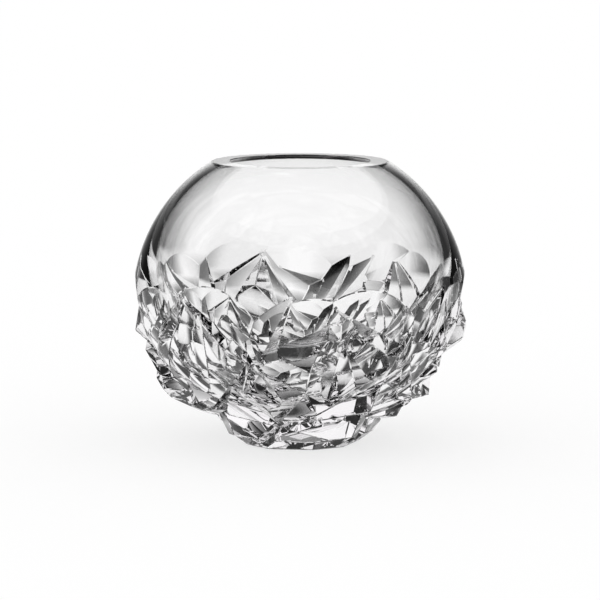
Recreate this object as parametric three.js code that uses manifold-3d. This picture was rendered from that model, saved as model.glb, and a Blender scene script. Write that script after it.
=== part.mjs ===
// Globe vase of heavy clear crystal: a smooth, thick-walled globe with a wide ground mouth,
// cut all round its lower half with crossing mitre cuts, down to a small flat base.
// Millimetres, +Z up. The origin is the middle of the base, where the vase stands.

import * as THREE from 'three';
import { mergeVertices } from 'three/addons/utils/BufferGeometryUtils.js';
import Module from 'manifold-3d';

const wasm = await Module();
wasm.setup();

// Driving dimensions

const globeRadius = 75; // outside, at the widest place
const globeHeight = 126; // base to rim
const baseRadius = 26.5; // flat disc that the vase stands on
const rimRadius = 39.3; // outer edge of the flat rim
const mouthRadius = 30.7; // inner edge of the flat rim
const wallThickness = 9.4; // the globe's radius less the cavity's, where each is widest
const cavityLift = 12.3; // how much higher the cavity is widest than the globe
const floorThickness = 17; // glass under the cavity, in the middle

// The cuts, tier by tier. Each tier is one round of straight V-shaped cuts:
//   count   cuts in the round
//   down    their middles, as a share of the way from the widest place (0) to the base's edge (1)
//   lean    degrees that a cut leans from upright; every other cut is a mirror image
//   depth   of the cut's valley below the globe's surface, in mm
//   wheel   angle of the V that the cutting wheel leaves; near 180 it leaves a flat panel
//   tilt    degrees that the wheel is held over, which makes one flank wider than the other
//   turn    where the round starts, as a share of one step
//   wander  how far the cuts stray from an even round, as a share of one step
const tiers = [
  { count: 12, down: 0.05, lean: 62, depth: 4.6, wheel: 146, tilt: 8, turn: 0, wander: 0.12 },
  { count: 13, down: 0.2, lean: 32, depth: 7.4, wheel: 112, tilt: 6, turn: 0.4, wander: 0.15 },
  { count: 12, down: 0.32, lean: 14, depth: 9.6, wheel: 104, tilt: 8, turn: 0.5, wander: 0.12 },
  { count: 11, down: 0.46, lean: 52, depth: 10.6, wheel: 108, tilt: 12, turn: 0.2, wander: 0.15 },
  { count: 10, down: 0.62, lean: 24, depth: 10.8, wheel: 114, tilt: 8, turn: 0.6, wander: 0.15 },
  { count: 9, down: 0.79, lean: 66, depth: 8.4, wheel: 124, tilt: 6, turn: 0.1, wander: 0.1 },
  { count: 9, down: 0.92, lean: 86, depth: 3.2, wheel: 150, tilt: 0, turn: 0.5, wander: 0.05 },
];
const downSpread = 0.02; // most that single cuts lie above or below their tier
const leanSpread = 7; // most degrees that single cuts lean more or less than their tier
const clearance = 3; // how far a cutting shape reaches out past the surface

// Steady waves that make neighbouring cuts differ: radians per cut, and where each wave starts
const strays = {
  place: { rate: 2.4, start: 0 },
  down: { rate: 3.3, start: 4.1 },
  lean: { rate: 4.2, start: 8.2 },
};
const strayPerTier = 1.7;

// Fineness of the round surfaces

const segmentsRound = 84;
const stepDegrees = 6;

// Values that follow from the driving dimensions

const rimRise = Math.sqrt(globeRadius ** 2 - rimRadius ** 2); // rim above the globe's middle
const middleHeight = globeHeight - rimRise;
const lowerDepth = middleHeight / Math.sqrt(1 - (baseRadius / globeRadius) ** 2);
const rimAngle = Math.asin(rimRise / globeRadius);
const baseAngle = Math.acos(baseRadius / globeRadius);
const cavityRadius = globeRadius - wallThickness;
const cavityMiddle = middleHeight + cavityLift;
const cavityDepth = cavityMiddle - floorThickness;
const mouthAngle = Math.acos(mouthRadius / cavityRadius);
const cavityRise = (globeHeight - cavityMiddle) / Math.sin(mouthAngle);

const clearCrystal = new THREE.MeshStandardMaterial({
  name: 'clear_crystal',
  color: 0xf4f7f7,
  roughness: 0.02,
  metalness: 0,
  transparent: true,
  opacity: 0.35,
});

// Points along an ellipse round a middle on the axis, from one angle to another
function ellipseArc(middle, across, up, from, to) {
  const steps = Math.ceil(THREE.MathUtils.radToDeg(to - from) / stepDegrees);
  const points = [];
  for (let i = 0; i <= steps; i += 1) {
    const angle = THREE.MathUtils.lerp(from, to, i / steps);
    points.push(new THREE.Vector2(across * Math.cos(angle), middle + up * Math.sin(angle)));
  }
  return points;
}

// A lathe turns about Y, so its solid is tipped to stand along Z
function turned(profile) {
  return new THREE.LatheGeometry(profile, segmentsRound).rotateX(Math.PI / 2);
}

// The blank before cutting: a globe above the widest place, a shallower ellipse below it
function blankGeometry() {
  return turned([
    new THREE.Vector2(0, 0),
    ...ellipseArc(middleHeight, globeRadius, lowerDepth, -baseAngle, 0),
    ...ellipseArc(middleHeight, globeRadius, globeRadius, 0, rimAngle).slice(1),
    new THREE.Vector2(0, globeHeight),
  ]);
}

// The inside: a slightly flattened globe, widest above the outer one's widest place, which runs
// up to the mouth's sharp edge and on past the rim to a closed top
function cavityGeometry() {
  const floor = ellipseArc(cavityMiddle, cavityRadius, cavityDepth, -Math.PI / 2, 0);
  const shoulder = ellipseArc(cavityMiddle, cavityRadius, cavityRise, 0, mouthAngle);
  const top = ellipseArc(cavityMiddle, cavityRadius, cavityRise, mouthAngle, Math.PI / 2);
  floor[0].x = 0;
  top[top.length - 1].x = 0;
  return turned([...floor, ...shoulder.slice(1), ...top.slice(1)]);
}

// A wave's value for one cut, from -1 to 1
function stray(wave, tierNumber, cut) {
  return Math.sin(wave.start + wave.rate * cut + strayPerTier * tierNumber);
}

// One cut: a long wedge whose edge lies under the surface. It starts upright, opening along +X.
function cutGeometry(tier, tierNumber, cut) {
  const side = cut % 2 === 0 ? 1 : -1;
  const step = 2 * Math.PI / tier.count;
  const around = step * (cut + tier.turn + tier.wander * stray(strays.place, tierNumber, cut));
  const level = -baseAngle * (tier.down + downSpread * stray(strays.down, tierNumber, cut));
  const lean = tier.lean + leanSpread * stray(strays.lean, tierNumber, cut);

  const reach = tier.depth + clearance;
  const halfWidth = reach * Math.tan(THREE.MathUtils.degToRad(tier.wheel / 2));
  const halfLength = Math.sqrt(2 * globeRadius * reach);
  const section = new THREE.Shape([
    new THREE.Vector2(0, 0),
    new THREE.Vector2(reach, -halfWidth),
    new THREE.Vector2(reach, halfWidth),
  ]);
  const wedge = new THREE.ExtrudeGeometry(section, { depth: 2 * halfLength, bevelEnabled: false });
  wedge.translate(0, 0, -halfLength);

  const up = level > 0 ? globeRadius : lowerDepth;
  const facing = Math.atan2(Math.sin(level) / up, Math.cos(level) / globeRadius);
  wedge.rotateZ(side * THREE.MathUtils.degToRad(tier.tilt));
  wedge.translate(-tier.depth, 0, 0);
  wedge.rotateX(side * THREE.MathUtils.degToRad(lean));
  wedge.rotateY(-facing);
  wedge.translate(globeRadius * Math.cos(level), 0, middleHeight + up * Math.sin(level));
  return wedge.rotateZ(around);
}

function toSolid(geometry) {
  geometry.deleteAttribute('normal');
  geometry.deleteAttribute('uv');
  const merged = mergeVertices(geometry);
  const mesh = new wasm.Mesh({
    numProp: 3,
    vertProperties: new Float32Array(merged.attributes.position.array),
    triVerts: new Uint32Array(merged.index.array),
  });
  return new wasm.Manifold(mesh);
}

function toGeometry(solid) {
  const mesh = solid.getMesh();
  const geometry = new THREE.BufferGeometry();
  geometry.setAttribute('position', new THREE.BufferAttribute(mesh.vertProperties, 3));
  geometry.setIndex(new THREE.BufferAttribute(mesh.triVerts, 1));
  geometry.computeVertexNormals();
  return geometry;
}

// The glass body: the blank, cut outside tier by tier, then hollowed
function glassBody() {
  let body = toSolid(blankGeometry());
  tiers.forEach((tier, tierNumber) => {
    for (let cut = 0; cut < tier.count; cut += 1) {
      body = body.subtract(toSolid(cutGeometry(tier, tierNumber, cut)));
    }
  });
  body = body.subtract(toSolid(cavityGeometry()));
  const mesh = new THREE.Mesh(toGeometry(body), clearCrystal);
  mesh.name = 'glass_body';
  return mesh;
}

const vase = new THREE.Group();
vase.name = 'globe_vase';
vase.add(glassBody());

export default vase;
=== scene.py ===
import math

import bpy
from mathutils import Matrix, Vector


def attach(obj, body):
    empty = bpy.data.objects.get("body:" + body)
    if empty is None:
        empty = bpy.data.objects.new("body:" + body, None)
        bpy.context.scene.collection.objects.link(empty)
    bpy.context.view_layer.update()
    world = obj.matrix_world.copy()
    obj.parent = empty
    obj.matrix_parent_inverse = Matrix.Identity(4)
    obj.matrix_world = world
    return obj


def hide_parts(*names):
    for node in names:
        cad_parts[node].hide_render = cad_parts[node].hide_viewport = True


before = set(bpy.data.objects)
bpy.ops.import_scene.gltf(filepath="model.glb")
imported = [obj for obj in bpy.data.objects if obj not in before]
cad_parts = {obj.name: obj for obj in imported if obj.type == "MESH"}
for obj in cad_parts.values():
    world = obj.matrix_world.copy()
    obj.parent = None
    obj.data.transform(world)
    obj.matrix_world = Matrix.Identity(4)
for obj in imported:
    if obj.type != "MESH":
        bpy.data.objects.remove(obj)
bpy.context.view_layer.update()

scene = bpy.context.scene

# The globe, its hollow and its mouth
globe = {
    "Radius": 0.075,         # outside, at the widest place
    "Height": 0.126,         # base to rim
    "Base Radius": 0.0265,
    "Rim Radius": 0.0393,    # outer edge of the flat rim
    "Mouth Radius": 0.0307,  # inner edge of the flat rim
    "Wall": 0.0094,          # the globe's radius less the hollow's, where each is widest
    "Hollow Lift": 0.0123,   # how much higher the hollow is widest than the globe
    "Floor": 0.017,          # glass under the hollow
    "Skin": 0.00012,         # how far the round outside stays within the CAD model's box
    "Rim Arris": 0.0004,     # how far the small bevel at the rim's outer edge reaches onto it
    "Rim Slope": 74,         # degrees that this bevel lies off upright
    "Mouth Arris": 0.0009,   # how far the bevel at the inner edge reaches onto the rim
    "Segments": 252,
    "Rings": 126,
}

# The cuts. Each tier is one round of straight V-shaped cuts: how many, how far down from the
# widest place, lean, depth, angle of the wheel, tilt, turn and wander, as in the CAD source.
cuts = {
    "Tiers": [
        (12, 0.05, 62, 0.0046, 146, 8, 0, 0.12),
        (13, 0.2, 32, 0.0074, 112, 6, 0.4, 0.15),
        (12, 0.32, 14, 0.0096, 104, 8, 0.5, 0.12),
        (11, 0.46, 52, 0.0106, 108, 12, 0.2, 0.15),
        (10, 0.62, 24, 0.0108, 114, 8, 0.6, 0.15),
        (9, 0.79, 66, 0.0084, 124, 6, 0.1, 0.1),
        (9, 0.92, 86, 0.0032, 150, 0, 0.5, 0.05),
    ],
    "Down Spread": 0.02,     # most that single cuts lie above or below their tier
    "Lean Spread": 7.0,      # most degrees that single cuts lean more or less than their tier
    "Clearance": 0.003,      # how far a wedge reaches out past the surface
    "Place Wave": (2.4, 0),  # radians per cut, and where the wave starts
    "Down Wave": (3.3, 4.1),
    "Lean Wave": (4.2, 8.2),
    "Tier Shift": 1.7,       # radians that each tier's waves start later
    "Arris": 0.0006,         # width of the polished edge along each ridge
    "Blunt": 16.0,           # degrees; ridges flatter than this get no polished edge
    "Shortest": 0.0009,      # ridges shorter than this neither
    "Slab": (4.0, 3.0, 0.6),  # shaves the ridges: its breadth, height and overrun, in arris widths
}

# Sizes that follow from those above
rimRise = math.sqrt(globe["Radius"] ** 2 - globe["Rim Radius"] ** 2)
middleHeight = globe["Height"] - rimRise
lowerDepth = middleHeight / math.sqrt(1 - (globe["Base Radius"] / globe["Radius"]) ** 2)
baseAngle = math.acos(globe["Base Radius"] / globe["Radius"])
outerRadius = globe["Radius"] - globe["Skin"]
hollowRadius = globe["Radius"] - globe["Wall"]
hollowMiddle = middleHeight + globe["Hollow Lift"]
hollowDepth = hollowMiddle - globe["Floor"]
mouthShare = globe["Mouth Radius"] / hollowRadius
hollowRise = (globe["Height"] - hollowMiddle) / math.sqrt(1 - mouthShare ** 2)


def newTree(label, sizes):
    # a node tree with a named input for each size
    tree = bpy.data.node_groups.new(label, "GeometryNodeTree")
    tree.interface.new_socket("Geometry", in_out="INPUT", socket_type="NodeSocketGeometry")
    for name, value in sizes.items():
        kind = {int: "NodeSocketInt", float: "NodeSocketFloat"}[type(value)]
        tree.interface.new_socket(name, in_out="INPUT", socket_type=kind).default_value = value
    tree.interface.new_socket("Geometry", in_out="OUTPUT", socket_type="NodeSocketGeometry")
    given = tree.nodes.new("NodeGroupInput").outputs
    return tree, given, tree.nodes.new("NodeGroupOutput").inputs


def put(tree, kind, inputs=None, **settings):
    # a node with its settings, and its inputs set or linked by name or number
    node = tree.nodes.new(kind)
    for name, value in settings.items():
        setattr(node, name, value)
    for name, value in (inputs or {}).items():
        if isinstance(value, bpy.types.NodeSocket):
            tree.links.new(value, node.inputs[name])
        else:
            node.inputs[name].default_value = value
    return node


def calc(tree, operation, *values):
    return put(tree, "ShaderNodeMath", dict(enumerate(values)), operation=operation).outputs[0]


def vector(tree, x, y, z):
    return put(tree, "ShaderNodeCombineXYZ", {0: x, 1: y, 2: z}).outputs[0]


def turned(tree, axis, degrees=None, radians=None):
    angle = calc(tree, "RADIANS", degrees) if radians is None else radians
    turn = put(tree, "FunctionNodeAxisAngleToRotation", {"Axis": axis, "Angle": angle})
    return turn.outputs[0]


def placed(tree, translation, rotation):
    move = put(tree, "FunctionNodeCombineTransform", {
        "Translation": translation, "Rotation": rotation})
    return move.outputs[0]


def addObject(label, data):
    made = bpy.data.objects.new(label, data)
    scene.collection.objects.link(made)
    return made


# A globe whose upper and lower halves have their own heights, for the outside and the hollow
def flattenedGlobeTree():
    tree, given, out = newTree("flattenedGlobe", {
        "Radius": 0.075, "Rise": 0.075, "Depth": 0.066, "Middle": 0.06,
        "Segments": 64, "Rings": 32})
    ball = put(tree, "GeometryNodeMeshUVSphere", {
        "Segments": given["Segments"], "Rings": given["Rings"], "Radius": given["Radius"]})
    position = put(tree, "GeometryNodeInputPosition").outputs[0]
    place = put(tree, "ShaderNodeSeparateXYZ", {0: position}).outputs
    share = calc(tree, "DIVIDE", place["Z"], given["Radius"])
    upper = calc(tree, "MULTIPLY", calc(tree, "MAXIMUM", share, 0.0), given["Rise"])
    lower = calc(tree, "MULTIPLY", calc(tree, "MINIMUM", share, 0.0), given["Depth"])
    height = calc(tree, "ADD", calc(tree, "ADD", upper, lower), given["Middle"])
    shaped = put(tree, "GeometryNodeSetPosition", {
        "Geometry": ball.outputs["Mesh"],
        "Position": vector(tree, place["X"], place["Y"], height)})
    tree.links.new(shaped.outputs[0], out[0])
    return tree


# One tier: wedges placed round the globe, each with its edge under the surface
def cutTierTree():
    tree, given, out = newTree("cutTier", {
        "Radius": 0.075, "Lower Depth": 0.066, "Middle": 0.06, "Base Angle": 1.2,
        "Clearance": 0.003, "Down Spread": 0.0, "Lean Spread": 0.0, "Tier Shift": 1.7,
        "Tier": 0, "Count": 12, "Down": 0.5, "Lean": 20.0, "Depth": 0.005, "Wheel": 120.0,
        "Tilt": 0.0, "Turn": 0.0, "Wander": 0.0})
    number = put(tree, "GeometryNodeInputIndex").outputs[0]
    shift = calc(tree, "MULTIPLY", given["Tier Shift"], given["Tier"])

    def stray(wave):
        phase = calc(tree, "ADD", calc(tree, "MULTIPLY_ADD", number, wave[0], wave[1]), shift)
        return calc(tree, "SINE", phase)

    odd = calc(tree, "MODULO", number, 2.0)
    side = calc(tree, "SUBTRACT", 1.0, calc(tree, "MULTIPLY", odd, 2.0))
    wander = calc(tree, "MULTIPLY", given["Wander"], stray(cuts["Place Wave"]))
    steps = calc(tree, "ADD", calc(tree, "ADD", number, given["Turn"]), wander)
    around = calc(tree, "MULTIPLY", calc(tree, "DIVIDE", 2 * math.pi, given["Count"]), steps)
    down = calc(tree, "MULTIPLY_ADD", given["Down Spread"], stray(cuts["Down Wave"]), given["Down"])
    level = calc(tree, "MULTIPLY", calc(tree, "MULTIPLY", given["Base Angle"], down), -1.0)
    lean = calc(tree, "MULTIPLY_ADD", given["Lean Spread"], stray(cuts["Lean Wave"]), given["Lean"])

    # the wedge: a three-sided prism stretched until its first edge lies at the origin
    reach = calc(tree, "ADD", given["Depth"], given["Clearance"])
    halfWheel = calc(tree, "RADIANS", calc(tree, "MULTIPLY", given["Wheel"], 0.5))
    halfWidth = calc(tree, "MULTIPLY", reach, calc(tree, "TANGENT", halfWheel))
    across = calc(tree, "MULTIPLY", given["Radius"], 2.0)
    halfLength = calc(tree, "SQRT", calc(tree, "MULTIPLY", across, reach))
    prism = put(tree, "GeometryNodeMeshCylinder", {"Vertices": 3, "Radius": 1.0, "Depth": 2.0})
    deep = calc(tree, "MULTIPLY", reach, 2 / 3)
    wide = calc(tree, "DIVIDE", halfWidth, math.sin(math.radians(120)))
    wedge = put(tree, "GeometryNodeTransform", {
        "Geometry": prism.outputs["Mesh"], "Translation": vector(tree, deep, 0.0, 0.0),
        "Rotation": turned(tree, (0, 0, 1), radians=math.pi),
        "Scale": vector(tree, deep, wide, halfLength)})

    below = calc(tree, "LESS_THAN", level, 0.0)
    squash = calc(tree, "SUBTRACT", given["Lower Depth"], given["Radius"])
    up = calc(tree, "MULTIPLY_ADD", below, squash, given["Radius"])
    facing = calc(tree, "ARCTAN2", calc(tree, "DIVIDE", calc(tree, "SINE", level), up),
                  calc(tree, "DIVIDE", calc(tree, "COSINE", level), given["Radius"]))
    spot = vector(tree, calc(tree, "MULTIPLY", given["Radius"], calc(tree, "COSINE", level)), 0.0,
                  calc(tree, "MULTIPLY_ADD", up, calc(tree, "SINE", level), given["Middle"]))

    # its way to its place: tilted and sunk, leaned, laid on the globe and turned round it
    inward = calc(tree, "MULTIPLY", given["Depth"], -1.0)
    tilt = calc(tree, "MULTIPLY", side, given["Tilt"])
    whole = placed(tree, vector(tree, inward, 0.0, 0.0), turned(tree, (0, 0, 1), degrees=tilt))
    leaning = turned(tree, (1, 0, 0), degrees=calc(tree, "MULTIPLY", side, lean))
    onGlobe = turned(tree, (0, 1, 0), radians=calc(tree, "MULTIPLY", facing, -1.0))
    inRound = turned(tree, (0, 0, 1), radians=around)
    for move, turn in (((0, 0, 0), leaning), (spot, onGlobe), ((0, 0, 0), inRound)):
        step = placed(tree, move, turn)
        whole = put(tree, "FunctionNodeMatrixMultiply", {0: step, 1: whole}).outputs[0]

    spots = put(tree, "GeometryNodePoints", {"Count": given["Count"]})
    wedges = put(tree, "GeometryNodeInstanceOnPoints", {
        "Points": spots.outputs[0], "Instance": wedge.outputs[0]})
    laid = put(tree, "GeometryNodeSetInstanceTransform", {
        "Instances": wedges.outputs[0], "Transform": whole})
    tree.links.new(laid.outputs[0], out[0])
    return tree


# The polished arris: a thin slab off every ridge, laid square to the middle of its two faces
def arrisTree():
    tree, given, out = newTree("polishedArris", {"Width": 0.0004, "Blunt": 16.0, "Shortest": 0.001})
    breadth, height, overrun = cuts["Slab"]
    faceNormal = put(tree, "GeometryNodeCaptureAttribute", {
        "Geometry": given["Geometry"]}, domain="FACE")
    faceNormal.capture_items.new("VECTOR", "Normal")
    normal = put(tree, "GeometryNodeInputNormal").outputs["True Normal"]
    tree.links.new(normal, faceNormal.inputs[1])

    # the ridges: sharp, outward and long enough
    ends = put(tree, "GeometryNodeInputMeshEdgeVertices").outputs
    bend = put(tree, "GeometryNodeInputMeshEdgeAngle").outputs["Signed Angle"]
    along = put(tree, "ShaderNodeVectorMath", {
        0: ends["Position 2"], 1: ends["Position 1"]}, operation="SUBTRACT").outputs[0]
    length = put(tree, "ShaderNodeVectorMath", {0: along}, operation="LENGTH").outputs["Value"]
    sharp = calc(tree, "GREATER_THAN", bend, calc(tree, "RADIANS", given["Blunt"]))
    long = calc(tree, "GREATER_THAN", length, given["Shortest"])
    ridges = put(tree, "GeometryNodeCaptureAttribute", {
        "Geometry": faceNormal.outputs["Geometry"]}, domain="EDGE")
    for kind, name, value in (("VECTOR", "Along", along), ("VECTOR", "Out", faceNormal.outputs[1]),
                              ("FLOAT", "Length", length), ("FLOAT", "Bend", bend)):
        ridges.capture_items.new(kind, name)
        tree.links.new(value, ridges.inputs[name])
    spots = put(tree, "GeometryNodeMeshToPoints", {
        "Mesh": ridges.outputs["Geometry"],
        "Selection": calc(tree, "MULTIPLY", sharp, long)}, mode="EDGES")

    # a slab over each, sunk until it takes off a strip as wide as the arris
    outward = put(tree, "ShaderNodeVectorMath", {
        0: ridges.outputs["Out"]}, operation="NORMALIZE").outputs[0]
    sink = calc(tree, "MULTIPLY", calc(tree, "MULTIPLY", given["Width"], 0.5),
                calc(tree, "TANGENT", calc(tree, "MULTIPLY", ridges.outputs["Bend"], 0.5)))
    tall = calc(tree, "MULTIPLY", given["Width"], height)
    lift = calc(tree, "SUBTRACT", calc(tree, "MULTIPLY", tall, 0.5), sink)
    offset = put(tree, "ShaderNodeVectorMath", {
        0: outward, "Scale": lift}, operation="SCALE").outputs[0]
    raised = put(tree, "GeometryNodeSetPosition", {"Geometry": spots.outputs[0], "Offset": offset})
    slab = put(tree, "GeometryNodeMeshCube", {"Size": (1, 1, 1)})
    direction = put(tree, "FunctionNodeAxesToRotation", {
        "Primary Axis": ridges.outputs["Along"], "Secondary Axis": outward},
        primary_axis="X", secondary_axis="Z")
    reach = calc(tree, "ADD", ridges.outputs["Length"],
                 calc(tree, "MULTIPLY", given["Width"], overrun))
    wide = calc(tree, "MULTIPLY", given["Width"], breadth)
    slabs = put(tree, "GeometryNodeInstanceOnPoints", {
        "Points": raised.outputs[0], "Instance": slab.outputs["Mesh"],
        "Rotation": direction.outputs[0], "Scale": vector(tree, reach, wide, tall)})
    shaved = put(tree, "GeometryNodeMeshBoolean", {
        "Mesh 1": given["Geometry"], "Mesh 2": slabs.outputs[0]},
        operation="DIFFERENCE", solver="MANIFOLD")
    tree.links.new(shaved.outputs["Mesh"], out[0])
    return tree


# The whole vase: the blank, less the cuts and the polished ridges, less the hollow
def vaseTree(crystal):
    sizes = {name: globe[name] for name in (
        "Radius", "Height", "Rim Radius", "Rim Arris", "Mouth Radius", "Mouth Arris",
        "Segments", "Rings")}
    sizes.update({name: cuts[name] for name in (
        "Clearance", "Down Spread", "Lean Spread", "Tier Shift", "Arris", "Blunt", "Shortest")})
    sizes.update({
        "Outer Radius": outerRadius, "Middle": middleHeight, "Lower Depth": lowerDepth,
        "Base Angle": baseAngle, "Hollow Radius": hollowRadius, "Hollow Middle": hollowMiddle,
        "Hollow Rise": hollowRise, "Hollow Depth": hollowDepth})
    tree, given, out = newTree("globeVase", sizes)
    globeShape, tierShape, arrisShape = flattenedGlobeTree(), cutTierTree(), arrisTree()

    def globeNode(radius, rise, depth, middle):
        return put(tree, "GeometryNodeGroup", {
            "Radius": radius, "Rise": rise, "Depth": depth, "Middle": middle,
            "Segments": given["Segments"], "Rings": given["Rings"]},
            node_tree=globeShape).outputs[0]

    def coneNode(top, bottom, depth, height):
        # a cone with its flat top at a given height
        cone = put(tree, "GeometryNodeMeshCone", {
            "Vertices": given["Segments"], "Radius Top": top, "Radius Bottom": bottom,
            "Depth": depth})
        foot = vector(tree, 0.0, 0.0, calc(tree, "SUBTRACT", height, depth))
        return put(tree, "GeometryNodeTransform", {
            "Geometry": cone.outputs["Mesh"], "Translation": foot}).outputs[0]

    # the blank: the outer globe, kept inside a wide cone whose top is the flat rim
    outer = globeNode(given["Outer Radius"], given["Outer Radius"], given["Lower Depth"],
                      given["Middle"])
    rimTop = calc(tree, "SUBTRACT", given["Rim Radius"], given["Rim Arris"])
    slope = math.tan(math.radians(globe["Rim Slope"]))
    spread = calc(tree, "MULTIPLY_ADD", given["Height"], slope, rimTop)
    bell = coneNode(rimTop, spread, given["Height"], given["Height"])
    blank = put(tree, "GeometryNodeMeshBoolean", operation="INTERSECT", solver="MANIFOLD")
    for form in (outer, bell):
        tree.links.new(form, blank.inputs["Mesh 2"])

    # the cuts, and the polished edges along their ridges
    cut = put(tree, "GeometryNodeMeshBoolean", {"Mesh 1": blank.outputs["Mesh"]},
              operation="DIFFERENCE", solver="MANIFOLD")
    shared = ("Radius", "Lower Depth", "Middle", "Base Angle", "Clearance", "Down Spread",
              "Lean Spread", "Tier Shift")
    own = ("Count", "Down", "Lean", "Depth", "Wheel", "Tilt", "Turn", "Wander")
    for number, tier in enumerate(cuts["Tiers"]):
        wedges = put(tree, "GeometryNodeGroup", {
            **{name: given[name] for name in shared}, "Tier": number, **dict(zip(own, tier))},
            node_tree=tierShape)
        tree.links.new(wedges.outputs[0], cut.inputs["Mesh 2"])
    ridged = put(tree, "GeometryNodeGroup", {
        "Geometry": cut.outputs["Mesh"], "Width": given["Arris"], "Blunt": given["Blunt"],
        "Shortest": given["Shortest"]}, node_tree=arrisShape)

    # the hollow, and a small bevel at the mouth
    hollow = globeNode(given["Hollow Radius"], given["Hollow Rise"], given["Hollow Depth"],
                       given["Hollow Middle"])
    mouthEdge = calc(tree, "ADD", given["Mouth Radius"], given["Mouth Arris"])
    bevel = coneNode(calc(tree, "ADD", mouthEdge, given["Mouth Arris"]), given["Mouth Radius"],
                     calc(tree, "MULTIPLY", given["Mouth Arris"], 2.0),
                     calc(tree, "ADD", given["Height"], given["Mouth Arris"]))
    hollowed = put(tree, "GeometryNodeMeshBoolean", {"Mesh 1": ridged.outputs[0]},
                   operation="DIFFERENCE", solver="MANIFOLD")
    for form in (hollow, bevel):
        tree.links.new(form, hollowed.inputs["Mesh 2"])

    solid = put(tree, "GeometryNodeRealizeInstances", {"Geometry": hollowed.outputs["Mesh"]})
    glass = put(tree, "GeometryNodeSetMaterial", {
        "Geometry": solid.outputs[0], "Material": crystal})
    tree.links.new(glass.outputs[0], out[0])
    return tree, sizes


def makeVase(crystal):
    tree, sizes = vaseTree(crystal)
    draft = addObject("vaseDraft", bpy.data.meshes.new("vaseDraft"))
    modifier = draft.modifiers.new("globeVase", "NODES")
    modifier.node_group = tree
    sockets = {item.name: item.identifier for item in tree.interface.items_tree
               if item.in_out == "INPUT"}
    for name, value in sizes.items():
        modifier[sockets[name]] = value
    bpy.context.view_layer.update()
    shaped = draft.evaluated_get(bpy.context.evaluated_depsgraph_get())
    mesh = bpy.data.meshes.new_from_object(shaped)
    mesh.name = "crystalVase"
    draft.modifiers.remove(modifier)
    bpy.data.objects.remove(draft)
    return addObject("crystalVase", mesh)


# How the faces are told apart: round ones follow the globe or the hollow, ground ones are level
# or in the bevels at the rim, and all others are cut. The first three are the finish attribute.
finishes = {
    "round": 0.0,
    "cut": 0.5,
    "ground": 1.0,
    "near": 0.00003,  # most that the corners of a round face lie off the round surface
    "agree": 0.9985,  # least that it agrees with that surface's direction, where 1 is fully
    "level": 0.9999,  # least that a level face agrees with straight up or down
}


# Which finish each face has, and exact normals where the glass is round
def finishFaces(mesh):
    finish = mesh.attributes.new("finish", "FLOAT", "FACE")
    rounds = ((outerRadius, outerRadius, lowerDepth, middleHeight, 1),
              (hollowRadius, hollowRise, hollowDepth, hollowMiddle, -1))

    def roundNormal(place, radius, rise, depth, middle, sign):
        up = rise if place.z > middle else depth
        out = Vector((place.x / radius ** 2, place.y / radius ** 2, (place.z - middle) / up ** 2))
        return sign * out.normalized()

    def offRound(place, radius, rise, depth, middle, sign):
        up = rise if place.z > middle else depth
        share = math.hypot(place.x / radius, place.y / radius, (place.z - middle) / up)
        return abs(share - 1) * radius

    def isRound(face, shape):
        corners = (mesh.vertices[i].co for i in face.vertices)
        return all(offRound(corner, *shape) < finishes["near"] for corner in corners) \
            and face.normal.dot(roundNormal(face.center, *shape)) > finishes["agree"]

    normals = [Vector()] * len(mesh.loops)
    counts = {"round": 0, "cut": 0, "ground": 0}
    bevelFoot = globe["Height"] - globe["Mouth Arris"]
    for face in mesh.polygons:
        kind = "ground" if abs(face.normal.z) > finishes["level"] else "cut"
        for shape in rounds:
            if kind == "cut" and isRound(face, shape):
                kind = "round"
                for loop in face.loop_indices:
                    corner = mesh.vertices[mesh.loops[loop].vertex_index].co
                    normals[loop] = roundNormal(corner, *shape)
        if kind == "cut" and face.center.z > bevelFoot:
            kind = "ground"
        if kind != "round":
            for loop in face.loop_indices:
                normals[loop] = Vector(face.normal)
        finish.data[face.index].value = finishes[kind]
        counts[kind] += 1
    mesh.shade_smooth()
    mesh.normals_split_custom_set([tuple(normal) for normal in normals])
    print("faces:", counts, "vertices:", len(mesh.vertices))


# Clear crystal. Its finish attribute is 0 where it is fire-polished, 0.5 on the cuts and 1
# where it is ground.
crystalLook = {
    "refraction": 1.545,
    "tint": (0.97, 0.91, 0.97, 1),  # of light that has passed through much glass
    "density": 3.0,
    "ground roughness": 0.09,
    "cut roughness": 0.004,
    "smears": 260.0,                # how fine the changes of roughness are
    "smear detail": 3.0,
}


def makeCrystal():
    material = bpy.data.materials.new("clearCrystal")
    material.use_nodes = True
    tree = material.node_tree
    shader = tree.nodes["Principled BSDF"]
    shader.inputs["Base Color"].default_value = (1, 1, 1, 1)
    shader.inputs["Transmission Weight"].default_value = 1
    shader.inputs["IOR"].default_value = crystalLook["refraction"]
    place = put(tree, "ShaderNodeTexCoord").outputs["Object"]
    finish = put(tree, "ShaderNodeAttribute", attribute_name="finish").outputs["Fac"]

    # the cuts are a little less smooth than the fire-polished wall, and the ground faces more so
    smear = put(tree, "ShaderNodeTexNoise", {
        "Vector": place, "Scale": crystalLook["smears"], "Detail": crystalLook["smear detail"]})
    roughness = put(tree, "ShaderNodeMapRange", {
        "Value": finish, "From Min": finishes["cut"], "From Max": finishes["ground"],
        "To Min": crystalLook["cut roughness"], "To Max": crystalLook["ground roughness"]})
    varied = calc(tree, "MULTIPLY", roughness.outputs[0],
                  calc(tree, "ADD", smear.outputs["Fac"], 0.5))
    worked = calc(tree, "MINIMUM", calc(tree, "MULTIPLY", finish, 2.0), 1.0)
    tree.links.new(calc(tree, "MULTIPLY", varied, worked), shader.inputs["Roughness"])

    absorb = put(tree, "ShaderNodeVolumeAbsorption", {
        "Color": crystalLook["tint"], "Density": crystalLook["density"]})
    tree.links.new(absorb.outputs[0], tree.nodes["Material Output"].inputs["Volume"])
    return material


def grey(value):
    return (value, value, value, 1)


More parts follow.
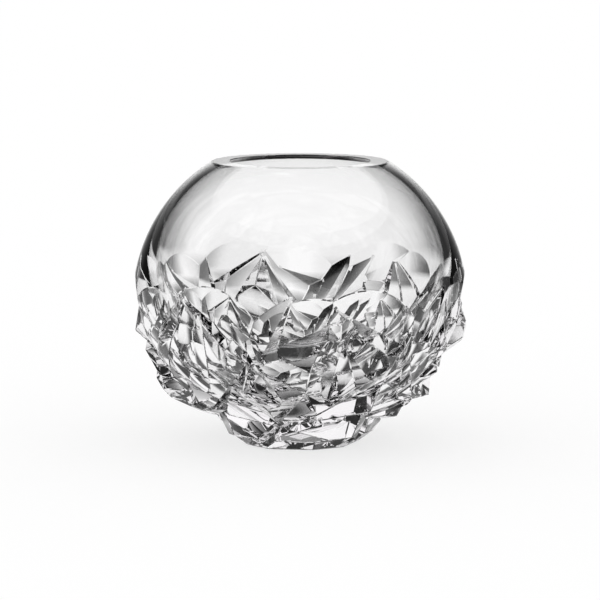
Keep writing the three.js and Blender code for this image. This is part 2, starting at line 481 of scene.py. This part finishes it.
def bareMaterial(label):
    # a material with only its output, and the socket that its shader goes to
    material = bpy.data.materials.new(label)
    material.use_nodes = True
    tree = material.node_tree
    tree.nodes.remove(tree.nodes["Principled BSDF"])
    return material, tree, tree.nodes["Material Output"].inputs["Surface"]


# A pale floor: much of its white is its own, so that the shadow of clear glass stays light
floorLook = {"size": 12, "paper": 0.3, "glow": 0.7}


def makeFloor():
    mesh = bpy.data.meshes.new("paleFloor")
    half = floorLook["size"] / 2
    corners = [(-half, -half, 0), (half, -half, 0), (half, half, 0), (-half, half, 0)]
    mesh.from_pydata(corners, [], [(0, 1, 2, 3)])
    material, tree, surface = bareMaterial("palePaper")
    paper = put(tree, "ShaderNodeBsdfDiffuse", {"Color": grey(floorLook["paper"])})
    glow = put(tree, "ShaderNodeEmission", {"Color": grey(floorLook["glow"])})
    both = put(tree, "ShaderNodeAddShader", {0: paper.outputs[0], 1: glow.outputs[0]})
    tree.links.new(both.outputs[0], surface)
    mesh.materials.append(material)
    floor = addObject("paleFloor", mesh)


# Black cards round the set, as glass is photographed: the camera and the floor don't see them,
# only what shines through or off the glass does. Lengths are in metres from the vase, angles in
# degrees, round from +X or up from the horizon, and 1 is fully dense.
# The disc under the vase is painted shade: a dark card where the vase's own shadow falls.
cards = {
    "black": 0.02,                  # how light the cards themselves are
    "under": (0.045, 0.015),        # painted shade: a dark disc under the vase where its own shadow falls, seen only through the glass: where it ends and where it is whole
    "ring": (0.045, 0.055, 0.16, 0.3),  # round the vase: where it begins, is whole, thins and ends
    "ring dense": 0.98,
    "ring gaps": [-45, 0, 45, 60, 125, 180, 225],  # ways of its white stripes
    "gap half": 8,                  # half of a stripe's angle
    "gap soft": 5,
    "surround": (0.26, 0.34, 3.0),  # the floor beyond: where black begins, is whole and turns up
    "wall top": 45,                 # how high it goes up as a wall
    "lanes": [90, 180, 270],        # ways that stay white, for what lies straight behind the glass
    "lane half": 0.05,              # their half width at the vase
    "lane open": 6,                 # and how many degrees they open outwards
    "fade": [(0, 0), (2, 0.08), (5, 0.3), (9, 0.54),  # degrees from a lane, and how dense there
             (13, 0.74), (18, 0.85), (23, 0.91), (30, 0.98)],
    "windows": [(135, 0.16, 0.4), (315, 0.24, 0.65)],  # white patches of floor: way, from and to
    "window half": 0.08,            # half of their width
    "window soft": 0.03,
    "lid": (9, 42, 3),              # a band overhead outside the lanes: from, to and soft edge
    "lid reach": 0.98,              # how far out it is, as a share of the wall
    "lift": 0.0007,                 # how high the cards lie over the floor
    "widen": 0.004,                 # from about here out, the floor card's rows get ever wider
    "rows": {"floorCard": 110, "wallCard": 10, "lidCard": 20},
    "columns": 240,
}


def ramp(value, none, whole):
    return max(0, min(1, (value - none) / (whole - none)))


def faded(room):
    # how dense the surround is, by the degrees from the nearest lane
    for (before, thinner), (angle, dense) in zip(cards["fade"], cards["fade"][1:]):
        if room <= angle:
            return thinner + (dense - thinner) * (room - before) / (angle - before)
    return dense


def alongWay(x, y, way):
    # how far a point lies ahead along a way, and how far beside it
    turn = math.radians(way)
    return x * math.cos(turn) + y * math.sin(turn), abs(y * math.cos(turn) - x * math.sin(turn))


def surroundDense(x, y):
    rooms = []
    for lane in cards["lanes"]:
        ahead, aside = alongWay(x, y, lane)
        if ahead > 0:
            angle = math.degrees(math.atan2(aside - cards["lane half"], ahead))
            rooms.append(angle - cards["lane open"])
    return faded(max(0, min(rooms, default=180)))


def floorDense(x, y):
    away = math.hypot(x, y)
    begin, full, thin, end = cards["ring"]
    ring = cards["ring dense"] * ramp(away, begin, full) * ramp(away, end, thin)
    for gap in cards["ring gaps"]:
        ahead, aside = alongWay(x, y, gap)
        off = math.degrees(math.atan2(aside, ahead))
        ring *= ramp(off, cards["gap half"], cards["gap half"] + cards["gap soft"])
    surround = surroundDense(x, y) * ramp(away, *cards["surround"][:2])
    # the disc under the vase is painted shade, standing where the vase's own shadow falls
    dense = max(ramp(away, *cards["under"]), ring, surround)
    half, soft = cards["window half"], cards["window soft"]
    for way, near, far in cards["windows"]:
        ahead, aside = alongWay(x, y, way)
        window = min(ramp(ahead, near - soft, near), ramp(ahead, far + soft, far),
                     ramp(aside, half + soft, half))
        dense *= 1 - window
    return dense


def makeCard(label, pointAt, denseAt, material):
    # a card drawn in rows and columns round the vase, each point with its own density
    mesh = bpy.data.meshes.new(label)
    rows, columns = cards["rows"][label], cards["columns"]
    grid = [(360 * i / columns, j / rows) for j in range(rows + 1) for i in range(columns + 1)]
    row = columns + 1
    faces = [(j * row + i, j * row + i + 1, (j + 1) * row + i + 1, (j + 1) * row + i)
             for j in range(rows) for i in range(columns)]
    points = [pointAt(turn, t) for turn, t in grid]
    mesh.from_pydata(points, [], faces)
    shades = [denseAt(x, y, t) for (x, y, z), (turn, t) in zip(points, grid)]
    mesh.attributes.new("dense", "FLOAT", "POINT").data.foreach_set("value", shades)
    mesh.materials.append(material)
    card = addObject(label, mesh)
    card.visible_camera = False
    card.visible_diffuse = False
    card.visible_shadow = False


def makeCards():
    material, tree, surface = bareMaterial("blackCard")
    black = put(tree, "ShaderNodeEmission", {"Color": grey(cards["black"])})
    clear = put(tree, "ShaderNodeBsdfTransparent")
    dense = put(tree, "ShaderNodeAttribute", attribute_name="dense").outputs["Fac"]
    mixed = put(tree, "ShaderNodeMixShader", {0: dense, 1: clear.outputs[0], 2: black.outputs[0]})
    tree.links.new(mixed.outputs[0], surface)

    reach, widen, lift = cards["surround"][2], cards["widen"], cards["lift"]
    low, high, soft = cards["lid"]

    def spot(turn, away, height):
        angle = math.radians(turn)
        return (away * math.cos(angle), away * math.sin(angle), height)

    def onFloor(turn, t):
        # from the middle out, in ever wider steps
        return spot(turn, widen * ((reach / widen) ** t - (1 - t)), lift)

    def onDome(turn, rise, radius):
        up = math.radians(rise)
        return spot(turn, radius * math.cos(up), lift + radius * math.sin(up))

    def onWall(turn, t):
        return onDome(turn, cards["wall top"] * t, reach)

    def onLid(turn, t):
        return onDome(turn, low + (high - low) * t, reach * cards["lid reach"])

    def lidDense(x, y, t):
        return surroundDense(x, y) * ramp(min(t, 1 - t) * (high - low), 0, soft)

    makeCard("floorCard", onFloor, lambda x, y, t: floorDense(x, y), material)
    makeCard("wallCard", onWall, lambda x, y, t: surroundDense(x, y), material)
    makeCard("lidCard", onLid, lidDense, material)


# The photo's angle: a long lens, a little above the rim
view = {"lens": 181, "sensor": 36, "aim": (0, 0, 0.0635), "distance": 1.349, "above": 7.8}


def makeCamera():
    lens = bpy.data.cameras.new("camera")
    lens.lens = view["lens"]
    lens.sensor_width = view["sensor"]
    camera = addObject("camera", lens)
    above = math.radians(view["above"])
    aim = Vector(view["aim"])
    camera.location = aim + view["distance"] * Vector((0, -math.cos(above), math.sin(above)))
    camera.rotation_euler = (aim - camera.location).to_track_quat("-Z", "Y").to_euler()
    scene.camera = camera


# A plain white sky, and light that may pass through many facets
studio = {"sky": 1, "bounces": 24}


def makeLight():
    world = bpy.data.worlds.new("whiteStudio")
    world.use_nodes = True
    sky = world.node_tree.nodes["Background"]
    sky.inputs["Color"].default_value = (1, 1, 1, 1)
    sky.inputs["Strength"].default_value = studio["sky"]
    scene.world = world
    scene.view_settings.view_transform = "Standard"
    scene.cycles.max_bounces = studio["bounces"]
    scene.cycles.transmission_bounces = studio["bounces"]
    scene.cycles.transparent_max_bounces = studio["bounces"]


makeCamera()
makeLight()
makeFloor()
makeCards()
print("studio ready")

vase = makeVase(makeCrystal())
finishFaces(vase.data)
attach(vase, "root")
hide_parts("glass_body")
print("vase ready")
